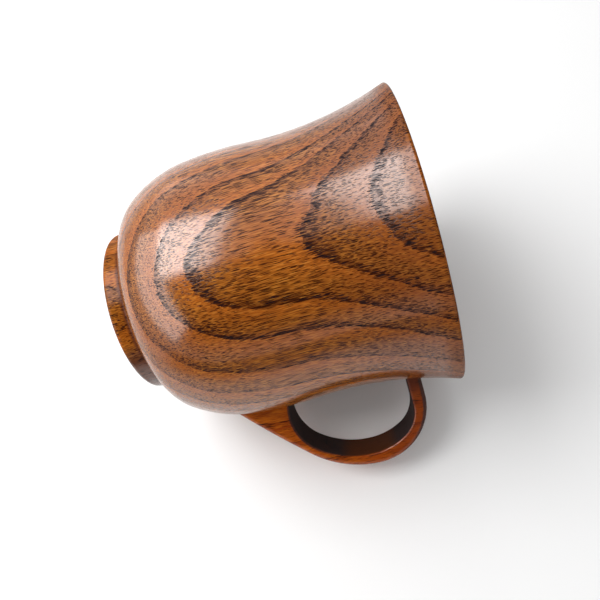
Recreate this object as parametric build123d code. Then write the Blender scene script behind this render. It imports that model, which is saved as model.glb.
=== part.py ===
"""A turned wooden teacup with a glued-on loop handle.

The cup is a lathe-turned bowl with its foot ring in one piece of wood. The handle is sawn from a
flat board, hollowed to the curve of the bowl, and held by glue and two blind dowels.
Units are millimetres. The origin is the centre of the foot ring's resting plane, +Z runs up the
cup's axis to the rim, and the handle reaches out along +X.
"""

from build123d import *

import os
from math import cos, hypot, radians, sin

# Bowl, outside: (radius, height) from the foot ring up over shoulder, belly and waist to the rim.
CUP_HEIGHT = 91.5
RIM_RADIUS = 45.2
FOOT_RADIUS = 25.0
FOOT_HEIGHT = 5.7
SHOULDER = (34.8, 12.4)
LOWER_BELLY = (40.3, 29.2)
WAIST = (40.3, 49.0)
UNDERSIDE_RISE = radians(10)

# Bowl, inside: (radius, height) from the edge of the flat floor up to the lip.
FLOOR_EDGE = (12.0, 11.0)
INNER_CORNER = (27.5, 16.5)
INNER_BELLY = (35.3, 32.0)
INNER_WAIST = (35.5, 49.0)
LIP_THICKNESS = 3.3
LIP_OUTSIDE_ROUNDING = 0.6
LIP_INSIDE_ROUNDING = 1.3

# Foot ring, turned on the bottom of the bowl and recessed underneath.
FOOT_COVE = 1.0
FOOT_ROUNDING = 1.2
RECESS_RADIUS = 20.5
RECESS_DEPTH = 3.2
RECESS_ROUNDING = 0.8

# Handle: a board of this thickness, sawn to (reach, height) points outside and inside the loop.
BOARD_THICKNESS = 13.5
ROOT_REACH = 36.0
TAIL = (ROOT_REACH, 18.5)
TAIL_RISE = radians(41.5)
OUTSIDE_ELBOW = (58.4, 40.5)
OUTSIDE_REACH = (66.6, 61.0)
OUTSIDE_SHOULDER = (60.2, 75.6)
OUTSIDE_CREST = (48.0, 80.2)
STEM_UNDERSIDE = 75.7
INSIDE_CREST = (50.0, STEM_UNDERSIDE)
INSIDE_SHOULDER = (59.6, 70.2)
INSIDE_REACH = (62.5, 60.0)
INSIDE_ELBOW = (57.0, 43.5)
INSIDE_HEEL = (47.0, 37.9)
INSIDE_TOE = (41.0, 38.4)
TOE_RISE = 1.4
OUTSIDE_ROUNDING = 1.9
INSIDE_ROUNDING = 1.0

# Joint between the handle and the bowl.
GLUE_LINE = 0.05
UPPER_DOWEL_RADIUS = 1.4
UPPER_DOWEL_LENGTH = 9.0
UPPER_DOWEL_HEIGHT = 77.9
UPPER_DOWEL_BITE = 2.2
LOWER_DOWEL_RADIUS = 2.0
LOWER_DOWEL_LENGTH = 9.0
LOWER_DOWEL_HEIGHT = 34.2
LOWER_DOWEL_BITE = 3.0
DOWEL_CHAMFER = 0.4
DOWEL_END_GAP = 0.3

# Edges this close to an expected place are the ones meant.
SAME_PLACE = 0.01


def flat(point, shift=0.0):
    """A point of the XZ plane given as (x, z)."""
    return Vector(point[0] + shift, 0, point[1])


def line(start, end):
    return Line(flat(start), flat(end))


def arcs(points, angle, shift=0.0):
    """Arcs through the (x, z) points, each leaving as the last one arrived, the first at angle."""
    heading = Vector(cos(angle), 0, sin(angle))
    chain = []
    for start, end in zip(points, points[1:]):
        arc = TangentArc(flat(start, shift), flat(end, shift), tangent=heading)
        heading = arc % 1
        chain.append(arc)
    return chain


def turned(edges):
    """The solid an XZ outline sweeps round the cup's axis, its seam turned away from the handle."""
    return Rot(0, 0, 90) * revolve(make_face(Wire(edges)), Axis.Z)


def outside_arcs(shift=0.0):
    """The bowl's outside from the foot ring to the rim, moved outwards by shift."""
    foot, rim = (FOOT_RADIUS, FOOT_HEIGHT), (RIM_RADIUS, CUP_HEIGHT)
    return arcs([foot, SHOULDER, LOWER_BELLY, WAIST, rim], UNDERSIDE_RISE, shift)


def inside_arcs():
    """The drinking hollow from the edge of its flat floor to the lip."""
    lip = (RIM_RADIUS - LIP_THICKNESS, CUP_HEIGHT)
    return arcs([FLOOR_EDGE, INNER_CORNER, INNER_BELLY, INNER_WAIST, lip], 0)


def corner_edges(solid, radius, height):
    """The circular edges of that radius at that height."""
    return [
        edge
        for edge in solid.edges().filter_by(GeomType.CIRCLE)
        if abs(edge.radius - radius) < SAME_PLACE
        and abs(edge.center().Z - height) < SAME_PLACE
    ]


def make_bowl():
    """Wall, floor and foot ring, all one turned piece."""
    lip_radius = RIM_RADIUS - LIP_THICKNESS
    bowl = turned([
        line((0, RECESS_DEPTH), (RECESS_RADIUS, RECESS_DEPTH)),
        line((RECESS_RADIUS, RECESS_DEPTH), (RECESS_RADIUS, 0)),
        line((RECESS_RADIUS, 0), (FOOT_RADIUS, 0)),
        line((FOOT_RADIUS, 0), (FOOT_RADIUS, FOOT_HEIGHT)),
        *outside_arcs(),
        line((RIM_RADIUS, CUP_HEIGHT), (lip_radius, CUP_HEIGHT)),
        *inside_arcs(),
        line(FLOOR_EDGE, (0, FLOOR_EDGE[1])),
        line((0, FLOOR_EDGE[1]), (0, RECESS_DEPTH)),
    ])
    roundings = [
        (RIM_RADIUS, CUP_HEIGHT, LIP_OUTSIDE_ROUNDING),
        (lip_radius, CUP_HEIGHT, LIP_INSIDE_ROUNDING),
        (FOOT_RADIUS, 0, FOOT_ROUNDING),
        (FOOT_RADIUS, FOOT_HEIGHT, FOOT_COVE),
        (RECESS_RADIUS, 0, RECESS_ROUNDING),
        (RECESS_RADIUS, RECESS_DEPTH, RECESS_ROUNDING),
    ]
    for radius, height, rounding in roundings:
        bowl = fillet(corner_edges(bowl, radius, height), rounding)
    return bowl


def make_cope():
    """The bowl's filled outside plus the glue line, which hollows the handle to fit."""
    return turned([
        *outside_arcs(GLUE_LINE),
        line((RIM_RADIUS + GLUE_LINE, CUP_HEIGHT), (0, CUP_HEIGHT)),
        line((0, CUP_HEIGHT), (0, FOOT_HEIGHT)),
        line((0, FOOT_HEIGHT), (FOOT_RADIUS + GLUE_LINE, FOOT_HEIGHT)),
    ])


def along_curve(edge, middle):
    """Whether an edge's middle is level with a curve's middle, whatever their Y."""
    offset = edge.position_at(0.5) - middle
    return hypot(offset.X, offset.Z) < SAME_PLACE


def face_edges(board, outline):
    """The board's edges on its two flat faces that follow the outline's curves."""
    middles = [curve.position_at(0.5) for curve in outline]
    return [
        edge
        for edge in board.edges()
        if abs(abs(edge.position_at(0.5).Y) - BOARD_THICKNESS / 2) < SAME_PLACE
        and any(along_curve(edge, middle) for middle in middles)
    ]


def make_handle_blank():
    """The sawn and rounded loop, before it is hollowed to the bowl."""
    stem_top = (ROOT_REACH, OUTSIDE_CREST[1])
    stem_bottom = (ROOT_REACH, STEM_UNDERSIDE)
    heel_end = (ROOT_REACH, INSIDE_TOE[1] + TOE_RISE)
    outside = arcs(
        [TAIL, OUTSIDE_ELBOW, OUTSIDE_REACH, OUTSIDE_SHOULDER, OUTSIDE_CREST],
        TAIL_RISE,
    )
    outside.append(line(OUTSIDE_CREST, stem_top))
    inside = arcs(
        [INSIDE_CREST, INSIDE_SHOULDER, INSIDE_REACH, INSIDE_ELBOW, INSIDE_HEEL, INSIDE_TOE],
        0,
    )
    inside.append(line(stem_bottom, INSIDE_CREST))
    inside.append(line(INSIDE_TOE, heel_end))
    root = [line(stem_top, stem_bottom), line(heel_end, TAIL)]
    outline = make_face(Wire(outside + inside + root))
    board = extrude(outline, BOARD_THICKNESS / 2, both=True)
    board = fillet(face_edges(board, outside), OUTSIDE_ROUNDING)
    return fillet(face_edges(board, inside), INSIDE_ROUNDING)


def lying_along_x(radius, length, start, height):
    """A round bar lying along X from start."""
    bar = Cylinder(radius, length, align=(Align.CENTER, Align.CENTER, Align.MIN))
    return Pos(start, 0, height) * Rot(0, 90, 0) * bar


def make_dowel(radius, length, start, height):
    """A dowel with chamfered ends, and the blind hole that leaves it a glue line all round."""
    peg = lying_along_x(radius, length, start, height)
    peg = chamfer(peg.edges().filter_by(GeomType.CIRCLE), DOWEL_CHAMFER)
    hole_radius = radius + GLUE_LINE
    hole_length = length + 2 * DOWEL_END_GAP
    return peg, lying_along_x(hole_radius, hole_length, start - DOWEL_END_GAP, height)


def wall_radius(height):
    """The bowl's outer radius at a height above its shoulder."""
    level = Line((FOOT_RADIUS, 0, height), (2 * RIM_RADIUS, 0, height))
    for arc in outside_arcs():
        crossing = arc.intersect(level)
        if crossing:
            return crossing.vertices()[0].X
    raise ValueError("no wall at that height")


def main():
    upper_dowel, upper_hole = make_dowel(
        UPPER_DOWEL_RADIUS,
        UPPER_DOWEL_LENGTH,
        wall_radius(UPPER_DOWEL_HEIGHT) - UPPER_DOWEL_BITE,
        UPPER_DOWEL_HEIGHT,
    )
    lower_dowel, lower_hole = make_dowel(
        LOWER_DOWEL_RADIUS,
        LOWER_DOWEL_LENGTH,
        wall_radius(LOWER_DOWEL_HEIGHT) - LOWER_DOWEL_BITE,
        LOWER_DOWEL_HEIGHT,
    )
    parts = {
        "turned_bowl": make_bowl() - upper_hole - lower_hole,
        "loop_handle": make_handle_blank() - make_cope() - upper_hole - lower_hole,
        "upper_dowel": upper_dowel,
        "lower_dowel": lower_dowel,
    }
    os.makedirs("parts", exist_ok=True)
    for name, part in parts.items():
        export_step(part, f"parts/{name}.step")


main()
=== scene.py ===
"""A lacquered wooden teacup lying on a white table, seen from above."""

import math

import bpy
from mathutils import Matrix, Vector

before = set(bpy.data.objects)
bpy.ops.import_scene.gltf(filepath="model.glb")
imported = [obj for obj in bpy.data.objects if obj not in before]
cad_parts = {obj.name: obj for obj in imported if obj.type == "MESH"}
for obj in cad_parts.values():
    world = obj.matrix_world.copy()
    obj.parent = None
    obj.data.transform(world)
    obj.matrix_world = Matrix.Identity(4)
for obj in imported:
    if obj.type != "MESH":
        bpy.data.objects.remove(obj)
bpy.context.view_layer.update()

MM = 0.001

# Four numbers in one value are a ramp: from here, to here, starting at this much, ending at that.

# The stage is laid out in metres, in the cup's own frame.
CUP_MIDDLE = Vector((0.010, -0.002, 0.050))
LOOP_MIDDLE = (0.050, 0.0, 0.057)

# The camera looks down on the table with the cup's foot to its left.
CAMERA_PLACE = Vector((-0.01954, -0.18587, 0.07360))
CAMERA_LOOK = Vector((0.1569, 0.9800, -0.1228))
CAMERA_UP = Vector((-0.9480, 0.1843, 0.2595))
CAMERA_LENS = 36.2
CAMERA_CLIP = (0.01, 20.0)

# The table lies along the cup's side, half a millimetre clear of the rim and the belly.
TABLE_TURN = math.radians(-124)
TABLE_TILT = math.radians(4.3)
TABLE_DISTANCE = 0.0385
TABLE_SIZE = 4.0
TABLE_WHITE = (0.90, 0.90, 0.90)
TABLE_ROUGHNESS = 0.6
TABLE_SPECULAR = 0.2

# What the lacquer mirrors. The table turns grey away from the cup, but not towards the upper left
# of the picture. The room is dark but for a glow near the table.
MIRRORED_GREY = (0.10, 0.10, 0.10)
GREY_AWAY = (0.12, 0.264, 0.0, 1.0)
GREY_UP_LEFT = (-0.02, 0.10, 1.0, 0.0)
GLOW = (0.0, 0.38, 0.95, 0.0)
GLOW_LEAN = 0.04
WORLD_LIGHT = 0.57

# Each light: its name, its direction from the cup along the table's axes, its distance, width,
# height and power, and whether only reflections show it.
SOFTBOXES = (
    ("window", (-0.57, 0.15, 0.82), 0.60, 0.36, 0.45, 3.3, False),
    ("window_heart", (-0.62, 0.15, 0.78), 0.61, 0.27, 0.37, 1.0, True),
    ("curtain", (-0.47, 0.15, 0.88), 0.63, 0.52, 0.42, 0.7, True),
    ("low_window", (-0.85, -0.20, 0.45), 0.62, 0.28, 0.92, 3.3, True),
    ("ceiling", (-0.45, 0.75, 0.50), 1.20, 1.20, 0.80, 3.0, False),
)

# Wood is in millimetres from here on. Lumps are the sizes of a noise's lumps along x, y and z.
# The bowl's years run from the far side of the cup towards the near side, and their sheets lean,
# rise, bow, twist and wave a little over the span.
RING_SPAN = 40.0
RING_MIDDLE = 45.0
RING_LEAN = -7.1
RING_RISE = 3.6
RING_BOW = 8.4
RING_TWIST = 3.2
RING_WAVE = -2.9
RING_START = 37.74
RING_WIDTH = 2.25
SWAY = 1.1
SWAY_LUMPS = (16, 16, 40)
SWAY_PLACE = (-103.0, 119.0, -34.0)
JITTER = 0.30
JITTER_LUMPS = (2.5, 2.5, 9)

# The handle's years run across its board, mostly along x.
HANDLE_GROWTH = (0.90, 0.25, -0.08)
HANDLE_RING_START = 36.0
HANDLE_RING_WIDTH = 6.5
HANDLE_SWAY = 2.0
HANDLE_SWAY_LUMPS = (9, 9, 40)

# Depth 0 is just inside the near side. Behind it years pass at this share of the pace, and the
# first rows grow fainter and the other pores sparser.
WIDE_YEARS = 0.5
QUIET_ROWS = (-6.0, 0.0, 0.65, 1.0)
QUIET_PORES = (-6.0, 0.0, 0.60, 1.0)

# Shares of a year's growth: the rows of coarse pores at its start, the close wood at its end, and
# the late tone of that wood's colour.
FIRST_ROWS = (0.0, 0.32, 1.0, 0.0)
LATE_WOOD = (0.45, 0.92, 0.0, 1.0)
LATE_TONE = (0.45, 0.90, 0.0, 1.0)

# Pores: how far they wander off the grain, how their sizes vary, how soft their edges are, and how
# strongly the fine ones show.
WANDER = (0.6, 0.3, 0)
WANDER_LUMPS = (3, 3, 14)
PORE_SIZES = (0.0, 1.0, 0.8, 1.15)
PORE_EDGE = (-0.07, 0.06, 1.0, 0.0)
FINE_PORES = 0.95

# Fibres and clouds in the ground colour: where on their noise each tone comes in, and how much.
FIBRE_LUMPS = (0.26, 0.26, 3.2)
BRIGHT_FIBRE = (0.30, 0.45, 0.60, 0.0)
DARK_FIBRE = (0.40, 0.65, 0.0, 0.60)
CLOUD = (0.35, 0.70, 0.0, 0.5)

# Satin lacquer, and the relief that shows in the wood and in the lacquer over it.
WOOD_ROUGHNESS = 0.5
PORE_ROUGHNESS = 0.25
COAT_ROUGHNESS = 0.165
COAT_IOR = 1.60
SMALL_PORE_OPENING = 0.55
COAT_LOST_IN_PORES = 0.90
WOOD_RELIEF = 0.02
COAT_RELIEF = 0.008
FIBRE_RELIEF = 0.25
RELIEF_STRENGTH = 0.8

# Shares of painted shade and of lacquer on the bowl, by height, or along x for the foot's own.
# The rim's share is painted shade, toning down the window's direct light near the rim.
RIM_SHADE = (52.0, 85.0, 0.0, 0.50)
# The foot's share is painted shade on its lower side, away from the light.
FOOT_SHADE = (5.0, 13.0, 0.0, 0.95)
FOOT_SHADE_TOP = (5.0, 8.0, 1.0, 0.0)
# The cove's band is painted shade in the crease between the foot and the bowl.
COVE_BOTTOM = (3.6, 4.9, 0.0, 1.0)
COVE_TOP = (6.3, 7.3, 1.0, 0.0)
FOOT_GLOSS = (6.0, 15.0, 0.18, 1.0)
WALL_GLOSS = (5.5, 9.0, 0.0, 1.0)
LIP_GLOSS = (85.5, 89.5, 1.0, 0.5)

# The same for the handle: streaks by their noise, and painted shade, darker and redder, by height.
STREAK_LUMPS = (1.6, 4.0, 14.0)
STREAKS = (0.45, 0.75, 0.0, 0.8)
PAINTED_TOP_SHADE = (48.0, 72.0, 0.0, 0.65)
STREAK_GLOSS_LUMPS = (2.0, 2.0, 10.0)
STREAK_GLOSS = (0.3, 0.7, 0.45, 0.70)

# The handle's painted shade: inside the loop and on the crest it goes by how squarely the wood
# faces the loop's middle, or up. On the stem it goes by place, and so does its redder tone.
INSIDE_SHADE = (0.25, 0.60, 0.0, 0.97)
CREST_SHADE = (0.12, 0.48, 0.0, 0.85)
STEM_REACH = (42.0, 50.0, 0.62, 0.18)
STEM_HEIGHT = (64.0, 72.0, 0.0, 1.0)
REDDER_REACH = (60.3, 62.0, 0.0, 1.0)
# The painted shade's dark colour, and its redder tone at the loop's reach.
LOOP_SHADE = (0.032, 0.024, 0.024)
REDDER_LOOP_SHADE = (0.078, 0.027, 0.011)
SHADE_DULLS = 0.85

BOWL_TONES = {
    "early": (0.125, 0.032, 0.004),
    "middle": (0.345, 0.106, 0.009),
    "late": (0.430, 0.114, 0.009),
    "gleam": (0.540, 0.205, 0.026),
    "cloud": (0.260, 0.060, 0.004),
    "shade": (0.120, 0.032, 0.010),
    "pore": (0.036, 0.008, 0.002),
    # Row pores are near-black; their faint blue tint is painted reflection.
    "row_pore": (0.011, 0.007, 0.008),
}
BOWL_CLOUD_LUMPS = (14, 14, 24)
HANDLE_TONES = {
    "early": (0.240, 0.040, 0.003),
    "middle": (0.450, 0.100, 0.004),
    "late": (0.500, 0.122, 0.006),
    "gleam": (0.560, 0.140, 0.008),
    "cloud": (0.230, 0.030, 0.003),
    "shade": (0.230, 0.030, 0.003),
    "pore": (0.060, 0.012, 0.002),
    "row_pore": (0.025, 0.008, 0.004),
}
HANDLE_CLOUD_LUMPS = (5, 5, 9)
DOWEL_TONES = {
    "pale": (0.52, 0.34, 0.17),
    "dark": (0.40, 0.24, 0.11),
    "fleck": (0.24, 0.12, 0.05),
}
DOWEL_FIBRE_LUMPS = (6, 0.25, 0.25)
DOWEL_FIBRE = (0.3, 0.7, 0.0, 1.0)
DOWEL_FLECK_LUMPS = (1.5, 0.12, 0.12)
DOWEL_FLECKS = (0.62, 0.72, 0.0, 0.7)
DOWEL_ROUGHNESS = 0.7
DOWEL_RELIEF = 0.03

# Row pores, coarse pores and fine pores: each has its cell, then its share of cells and its
# reach in them, both for the first rows, the open wood and the late wood.
BOWL_PORES = (
    ((0.36, 0.32, 4.0), (0.97, 0.00, 0.00), (0.43, 0.30, 0.30)),
    ((0.38, 0.33, 6.5), (0.97, 0.92, 0.55), (0.46, 0.32, 0.25)),
    ((0.24, 0.24, 4.0), (0.95, 0.80, 0.55), (0.50, 0.42, 0.36)),
)
HANDLE_PORES = (
    ((0.80, 0.60, 9.0), (0.35, 0.00, 0.00), (0.38, 0.30, 0.30)),
    ((0.34, 0.34, 7.0), (0.45, 0.10, 0.03), (0.42, 0.32, 0.28)),
    ((0.24, 0.24, 4.0), (0.50, 0.35, 0.25), (0.45, 0.38, 0.34)),
)


class Graph:
    """A material's node tree, with plain calls for the sums a pattern needs."""

    def __init__(self, name):
        self.material = bpy.data.materials.new(name)
        self.material.use_nodes = True
        self.tree = self.material.node_tree
        self.shader = self.tree.nodes["Principled BSDF"]

    def node(self, kind, **settings):
        made = self.tree.nodes.new("ShaderNode" + kind)
        for key, value in settings.items():
            setattr(made, key, value)
        return made

    def put(self, socket, value):
        """Links a socket or writes a constant into an input."""
        if isinstance(value, bpy.types.NodeSocket):
            self.tree.links.new(value, socket)
        else:
            socket.default_value = value

    def feed(self, name, value):
        """Links or writes one of the shader's inputs."""
        self.put(self.shader.inputs[name], value)

    def sum_node(self, kind, operation, values):
        made = self.node(kind, operation=operation)
        for socket, value in zip(made.inputs, values):
            self.put(socket, value)
        return made

    def math(self, operation, *values):
        return self.sum_node("Math", operation, values).outputs[0]

    def chain(self, operation, values):
        """One operation carried along the values from the first to the last."""
        total = values[0]
        for value in values[1:]:
            total = self.math(operation, total, value)
        return total

    def add(self, *values):
        return self.chain("ADD", values)

    def mul(self, *values):
        return self.chain("MULTIPLY", values)

    def most(self, *values):
        return self.chain("MAXIMUM", values)

    def sub(self, a, b):
        return self.math("SUBTRACT", a, b)

    def vector(self, operation, *values):
        return self.sum_node("VectorMath", operation, values).outputs["Vector"]

    def measure(self, operation, *values):
        """A sum of vectors that comes to a number, such as a dot product or a distance."""
        return self.sum_node("VectorMath", operation, values).outputs["Value"]

    def scaled(self, place, sizes):
        """A place measured in cells of the given (x, y, z) sizes."""
        return self.vector("MULTIPLY", place, tuple(1 / size for size in sizes))

    def split(self, vector):
        made = self.node("SeparateXYZ")
        self.put(made.inputs[0], vector)
        return made.outputs

    def place(self):
        """The point being shaded, in millimetres from the cup's origin."""
        return self.scaled(self.node("TexCoord").outputs["Object"], (MM, MM, MM))

    def ramp(self, value, low, high, start, end):
        """value mapped smoothly from low..high to start..end, and held beyond them."""
        made = self.node("MapRange", interpolation_type="SMOOTHSTEP")
        for socket, number in zip(made.inputs, (value, low, high, start, end)):
            self.put(socket, number)
        return made.outputs[0]

    def noise_node(self, place, lumps, detail):
        made = self.node("TexNoise")
        self.put(made.inputs["Vector"], self.scaled(place, lumps))
        made.inputs["Scale"].default_value = 1.0
        made.inputs["Detail"].default_value = detail
        return made

    def noise(self, place, lumps, detail=1.0):
        """Soft noise from 0 to 1."""
        return self.noise_node(place, lumps, detail).outputs["Fac"]

    def offset(self, place, lumps, reach, detail=1.0):
        """A soft random number, up to half of reach either way."""
        return self.mul(self.sub(self.noise(place, lumps, detail), 0.5), reach)

    def offset_vector(self, place, lumps, reach):
        """The same for a vector, with a reach along each axis."""
        colour = self.noise_node(place, lumps, 1.0).outputs["Color"]
        return self.vector("MULTIPLY", self.vector("SUBTRACT", colour, (0.5, 0.5, 0.5)), reach)

    def cells(self, place, sizes):
        """Distance from the nearest cell's middle, that middle's place, and two random numbers."""
        made = self.node("TexVoronoi")
        self.put(made.inputs["Vector"], self.scaled(place, sizes))
        made.inputs["Scale"].default_value = 1.0
        middle = self.vector("MULTIPLY", made.outputs["Position"], sizes)
        chance = self.node("SeparateColor")
        self.put(chance.inputs[0], made.outputs["Color"])
        return made.outputs["Distance"], middle, chance.outputs[0], chance.outputs[1]

    def bump(self, height, millimetres):
        """A surface normal for a height whose unit stands for so many millimetres."""
        made = self.node("Bump")
        made.inputs["Strength"].default_value = RELIEF_STRENGTH
        made.inputs["Distance"].default_value = millimetres * MM
        self.put(made.inputs["Height"], height)
        return made.outputs[0]

    def mix(self, share, first, second):
        """A colour share of the way from first to second."""
        made = self.node("Mix", data_type="RGBA")
        self.put(made.inputs["Factor"], share)
        for socket, colour in ((made.inputs["A"], first), (made.inputs["B"], second)):
            self.put(socket, colour if isinstance(colour, bpy.types.NodeSocket) else (*colour, 1))
        return made.outputs["Result"]


def bowl_growth(g, place):
    """How deep into the bowl's timber a place is, in millimetres along the years' growth."""
    x, y, z = g.split(place)
    across = g.mul(x, 1 / RING_SPAN)
    up = g.mul(g.sub(z, RING_MIDDLE), 1 / RING_SPAN)
    bow = g.mul(across, across)
    depth = g.add(
        g.mul(y, -1.0),
        g.mul(across, RING_LEAN),
        g.mul(up, RING_RISE),
        g.mul(bow, RING_BOW),
        g.mul(bow, up, RING_TWIST),
        g.mul(up, up, up, RING_WAVE),
        -RING_START,
    )
    sway = g.offset(g.vector("ADD", place, SWAY_PLACE), SWAY_LUMPS, SWAY)
    return g.add(depth, sway, g.offset(place, JITTER_LUMPS, JITTER))


def handle_growth(g, place):
    """The same for the handle's board, whose rings stand nearly upright along its length."""
    steps = [g.mul(way, share) for way, share in zip(g.split(place), HANDLE_GROWTH)]
    depth = g.add(*steps, -HANDLE_RING_START)
    return g.add(depth, g.offset(place, HANDLE_SWAY_LUMPS, HANDLE_SWAY, detail=1.5))


def season_at(g, depth, year_width):
    """How far through its year the wood is, from 0 to 1."""
    behind = g.mul(g.math("MINIMUM", depth, 0.0), WIDE_YEARS)
    return g.math("FRACT", g.mul(g.add(g.most(depth, 0.0), behind), 1 / year_width))


def first_rows_at(g, season, depth):
    """How far the wood belongs to the rows of open pores at the start of its year."""
    rows = g.ramp(season, *FIRST_ROWS)
    return g.mul(rows, g.ramp(depth, *QUIET_ROWS))


def timber_frame(g, place, depth):
    """The timber's own frame: across the grain, through the years, and along the grain."""
    x, _, z = g.split(place)
    timber = g.node("CombineXYZ")
    for socket, value in zip(timber.inputs, (x, depth, z)):
        g.put(socket, value)
    return g.vector("ADD", timber.outputs[0], g.offset_vector(place, WANDER_LUMPS, WANDER))


def pore_layer(g, timber, year_width, sizes, share, reach):
    """One size of pores. share and reach give (first rows, open wood, late wood) values.

    A pore takes the season at its own middle, so the edge of a year is beaded.
    """
    distance, middle, chance, odds = g.cells(timber, sizes)
    depth = g.split(middle)[1]
    season = season_at(g, depth, year_width)
    first_rows = first_rows_at(g, season, depth)
    late_wood = g.ramp(season, *LATE_WOOD)

    def by_season(first, middling, late):
        return g.add(
            middling,
            g.mul(first_rows, first - middling),
            g.mul(late_wood, late - middling),
        )

    sparse = g.ramp(depth, *QUIET_PORES)
    kept = g.math("LESS_THAN", odds, g.mul(by_season(*share), sparse))
    edge = g.mul(by_season(*reach), g.ramp(chance, *PORE_SIZES))
    return g.mul(g.ramp(g.sub(distance, edge), *PORE_EDGE), kept)


def ground_colour(g, first_rows, season, fibre, cloud, tones):
    """The wood between its pores: dark at the start of the year, brightest at its end."""
    ground = g.mix(first_rows, tones["middle"], tones["early"])
    ground = g.mix(g.ramp(season, *LATE_TONE), ground, tones["late"])
    ground = g.mix(g.ramp(fibre, *DARK_FIBRE), ground, tones["early"])
    ground = g.mix(g.ramp(fibre, *BRIGHT_FIBRE), ground, tones["gleam"])
    return g.mix(g.ramp(cloud, *CLOUD), ground, tones["cloud"])


def lacquer(g, rows, small, fibre, gloss):
    """Satin lacquer, thinner over open pores, as its share. gloss is its share on closed wood."""
    pores = g.most(rows, small)
    g.feed("Roughness", g.add(WOOD_ROUGHNESS, g.mul(pores, PORE_ROUGHNESS)))
    g.feed("Specular IOR Level", 0.0)
    open_pores = g.most(rows, g.mul(small, SMALL_PORE_OPENING))
    coat = g.mul(g.sub(1.0, g.mul(open_pores, COAT_LOST_IN_PORES)), gloss)
    g.feed("Coat Weight", coat)
    g.feed("Coat Roughness", COAT_ROUGHNESS)
    g.feed("Coat IOR", COAT_IOR)
    height = g.add(g.mul(pores, -1.0), g.mul(fibre, FIBRE_RELIEF))
    g.feed("Normal", g.bump(height, WOOD_RELIEF))
    g.feed("Coat Normal", g.bump(height, COAT_RELIEF))
    return coat


def wood(name, growth, year_width, tones, cloud_lumps, pore_kinds, shade, gloss):
    """Ring-porous wood under satin lacquer, as its graph, its colour and its share of lacquer.

    Each year starts with rows of coarse open pores, which thin out to close, brighter late wood.
    Pores are tubes along the grain: dashes on the wall, and dots where the wall cuts across them.
    shade and gloss give the share of the shade tone, which is partly painted shade, and of lacquer
    at a place.
    """
    g = Graph(name)
    place = g.place()
    depth = growth(g, place)
    season = season_at(g, depth, year_width)
    timber = timber_frame(g, place, depth)
    rows, coarse, fine = (pore_layer(g, timber, year_width, *kind) for kind in pore_kinds)
    small = g.most(coarse, g.mul(fine, FINE_PORES))
    fibre = g.noise(timber, FIBRE_LUMPS)
    cloud = g.noise(place, cloud_lumps, detail=2.0)

    ground = ground_colour(g, first_rows_at(g, season, depth), season, fibre, cloud, tones)
    # The shade tone is painted shade on the bowl; on the handle it is real streaks plus painted
    # shade at the top.
    ground = g.mix(shade(g, place), ground, tones["shade"])
    colour = g.mix(rows, g.mix(small, ground, tones["pore"]), tones["row_pore"])
    g.feed("Base Color", colour)
    return g, colour, lacquer(g, rows, small, fibre, gloss(g, place))


def bowl_painted_shade(g, place):
    """Painted shade towards the rim, on the handle's side of the foot, and in the foot's cove."""
    x, _, z = g.split(place)
    rim = g.ramp(z, *RIM_SHADE)
    foot = g.mul(g.ramp(x, *FOOT_SHADE), g.ramp(z, *FOOT_SHADE_TOP))
    cove = g.mul(g.ramp(z, *COVE_BOTTOM), g.ramp(z, *COVE_TOP))
    return g.most(rim, foot, cove)


def bowl_gloss(g, place):
    """Full lacquer on the wall. The lip and most of the foot ring are duller."""
    x, _, z = g.split(place)
    body = g.most(g.ramp(x, *FOOT_GLOSS), g.ramp(z, *WALL_GLOSS))
    return g.mul(body, g.ramp(z, *LIP_GLOSS))


def handle_shade(g, place):
    """Reddish streaks along the handle's grain, and painted shade, darker and redder, towards its
    top.
    """
    streaks = g.ramp(g.noise(place, STREAK_LUMPS, detail=2.0), *STREAKS)
    return g.most(streaks, g.ramp(g.split(place)[2], *PAINTED_TOP_SHADE))


def handle_gloss(g, place):
    """A little more lacquer on some streaks than on others."""
    return g.ramp(g.noise(place, STREAK_GLOSS_LUMPS), *STREAK_GLOSS)


def paint_loop_shade(g, colour, coat):
    """Painted shade inside the handle's loop, where it faces the loop's middle, and on its crest.

    It is redder at the loop's reach, and spreads thinly over the stem towards the bowl.
    """
    x, _, z = g.split(g.place())
    surface = g.node("NewGeometry").outputs
    to_middle = g.vector("SUBTRACT", LOOP_MIDDLE, surface["Position"])
    inward = g.measure("DOT_PRODUCT", g.vector("NORMALIZE", to_middle), surface["Normal"])
    inside = g.ramp(inward, *INSIDE_SHADE)
    crest = g.ramp(g.split(surface["Normal"])[2], *CREST_SHADE)
    stem = g.mul(g.ramp(x, *STEM_REACH), g.ramp(z, *STEM_HEIGHT))
    share = g.most(inside, crest, stem)
    shade_tone = g.mix(g.ramp(x, *REDDER_REACH), LOOP_SHADE, REDDER_LOOP_SHADE)
    g.feed("Base Color", g.mix(share, colour, shade_tone))
    g.feed("Coat Weight", g.mul(coat, g.sub(1.0, g.mul(share, SHADE_DULLS))))


def bowl_wood():
    g, _, _ = wood(
        "bowl_wood",
        bowl_growth,
        RING_WIDTH,
        BOWL_TONES,
        BOWL_CLOUD_LUMPS,
        BOWL_PORES,
        bowl_painted_shade,
        bowl_gloss,
    )
    return g.material


def handle_wood():
    g, colour, coat = wood(
        "handle_wood",
        handle_growth,
        HANDLE_RING_WIDTH,
        HANDLE_TONES,
        HANDLE_CLOUD_LUMPS,
        HANDLE_PORES,
        handle_shade,
        handle_gloss,
    )
    paint_loop_shade(g, colour, coat)
    return g.material


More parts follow.
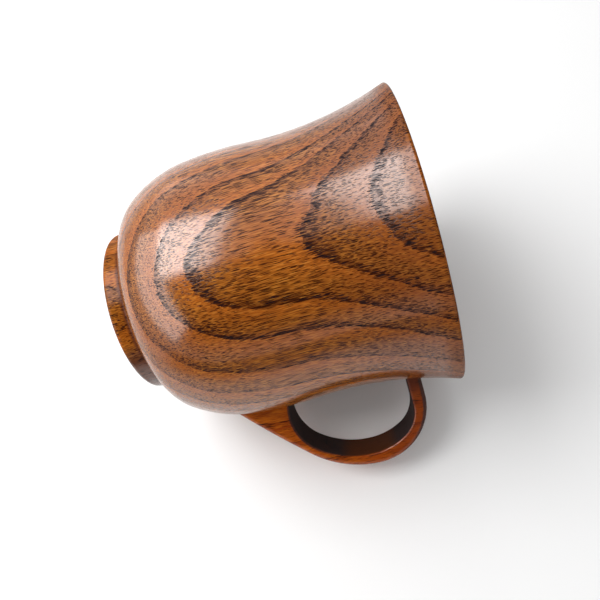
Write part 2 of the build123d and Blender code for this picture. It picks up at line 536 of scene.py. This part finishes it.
def dowel_wood():
    """Plain pale dowel wood with short flecks along the dowel, which lies along X."""
    g = Graph("dowel_wood")
    place = g.place()
    fibre = g.noise(place, DOWEL_FIBRE_LUMPS, detail=3.0)
    flecks = g.noise(place, DOWEL_FLECK_LUMPS)
    ground = g.mix(g.ramp(fibre, *DOWEL_FIBRE), DOWEL_TONES["pale"], DOWEL_TONES["dark"])
    g.feed("Base Color", g.mix(g.ramp(flecks, *DOWEL_FLECKS), ground, DOWEL_TONES["fleck"]))
    g.feed("Roughness", DOWEL_ROUGHNESS)
    g.feed("Normal", g.bump(fibre, DOWEL_RELIEF))
    return g.material


def dress_nodes():
    dowel = dowel_wood()
    looks = {
        "turned_bowl": bowl_wood(),
        "loop_handle": handle_wood(),
        "upper_dowel": dowel,
        "lower_dowel": dowel,
    }
    for name, material in looks.items():
        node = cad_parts[name]
        node.data.materials.clear()
        node.data.materials.append(material)


def table_normal():
    return Vector((
        math.cos(TABLE_TILT) * math.cos(TABLE_TURN),
        math.cos(TABLE_TILT) * math.sin(TABLE_TURN),
        math.sin(TABLE_TILT),
    ))


def table_axes():
    """The table's axes as the camera sees them: to the right, up the picture, and off the table."""
    normal = table_normal()
    right = CAMERA_LOOK.cross(CAMERA_UP)
    right = (right - right.dot(normal) * normal).normalized()
    return Matrix((right, normal.cross(right), normal)).transposed()


def table_white():
    """White, clear from behind, and grey in reflections away from the cup."""
    g = Graph("table_white")
    surface = g.node("NewGeometry").outputs
    axes = table_axes()
    from_cup = g.vector("SUBTRACT", surface["Position"], CUP_MIDDLE)
    up_left = g.measure("DOT_PRODUCT", from_cup, axes.col[1] - axes.col[0])
    away = g.measure("DISTANCE", surface["Position"], CUP_MIDDLE)
    grey = g.mul(
        g.ramp(away, *GREY_AWAY),
        g.ramp(up_left, *GREY_UP_LEFT),
        g.node("LightPath").outputs["Is Glossy Ray"],
    )
    g.feed("Base Color", g.mix(grey, TABLE_WHITE, MIRRORED_GREY))
    g.feed("Roughness", TABLE_ROUGHNESS)
    g.feed("Specular IOR Level", TABLE_SPECULAR)
    sides = g.node("MixShader")
    g.put(sides.inputs[0], surface["Backfacing"])
    g.put(sides.inputs[1], g.shader.outputs[0])
    g.put(sides.inputs[2], g.node("BsdfTransparent").outputs[0])
    g.put(g.tree.nodes["Material Output"].inputs["Surface"], sides.outputs[0])
    return g.material


def make_table():
    half = TABLE_SIZE / 2
    corners = [(-half, -half, 0), (half, -half, 0), (half, half, 0), (-half, half, 0)]
    mesh = bpy.data.meshes.new("table")
    mesh.from_pydata(corners, [], [(0, 1, 2, 3)])
    mesh.materials.append(table_white())
    table = bpy.data.objects.new("table", mesh)
    bpy.context.scene.collection.objects.link(table)
    table.rotation_mode = "QUATERNION"
    table.rotation_quaternion = table_normal().to_track_quat("Z", "Y")
    table.location = -TABLE_DISTANCE * table_normal()


def place_facing(thing, place, back, across):
    """Puts a camera or a light at a place, with its back and its X axis along the vectors."""
    turn = Matrix((across, back.cross(across), back)).transposed()
    thing.matrix_world = Matrix.Translation(place) @ turn.to_4x4()
    bpy.context.scene.collection.objects.link(thing)


def softbox(name, direction, distance, width, height, power, only_reflected):
    """A rectangle of light facing the cup, in a direction given along the table's axes."""
    light = bpy.data.lights.new(name, "AREA")
    light.shape = "RECTANGLE"
    light.size = width
    light.size_y = height
    light.energy = power
    lamp = bpy.data.objects.new(name, light)
    lamp.visible_diffuse = not only_reflected
    axes = table_axes()
    back = (axes @ Vector(direction)).normalized()
    across = axes.col[1].cross(back).normalized()
    place_facing(lamp, CUP_MIDDLE + back * distance, back, across)


def make_world():
    """Soft light from all round. In reflections it is dark but for a glow near the table.

    The glow fades with height off the table, more slowly towards the top of the picture.
    """
    world = bpy.data.worlds.new("studio")
    world.use_nodes = True
    nodes, links = world.node_tree.nodes, world.node_tree.links
    height = nodes.new("ShaderNodeVectorMath")
    height.operation = "DOT_PRODUCT"
    axes = table_axes()
    height.inputs[1].default_value = axes.col[2] - GLOW_LEAN * axes.col[1]
    links.new(nodes.new("ShaderNodeTexCoord").outputs["Generated"], height.inputs[0])
    glow = nodes.new("ShaderNodeMapRange")
    links.new(height.outputs["Value"], glow.inputs["Value"])
    for socket, value in zip(glow.inputs[1:5], GLOW):
        socket.default_value = value
    strength = nodes.new("ShaderNodeMix")
    links.new(nodes.new("ShaderNodeLightPath").outputs["Is Glossy Ray"], strength.inputs[0])
    strength.inputs[2].default_value = WORLD_LIGHT
    links.new(glow.outputs[0], strength.inputs[3])
    links.new(strength.outputs[0], nodes["Background"].inputs["Strength"])
    nodes["Background"].inputs["Color"].default_value = (1, 1, 1, 1)
    bpy.context.scene.world = world


def make_lights():
    for box in SOFTBOXES:
        softbox(*box)
    make_world()
    bpy.context.scene.view_settings.view_transform = "Standard"


def make_camera():
    data = bpy.data.cameras.new("camera")
    data.lens = CAMERA_LENS
    data.clip_start, data.clip_end = CAMERA_CLIP
    camera = bpy.data.objects.new("camera", data)
    back = -CAMERA_LOOK.normalized()
    place_facing(camera, CAMERA_PLACE, back, CAMERA_UP.cross(back).normalized())
    bpy.context.scene.camera = camera


dress_nodes()
make_table()
make_lights()
make_camera()
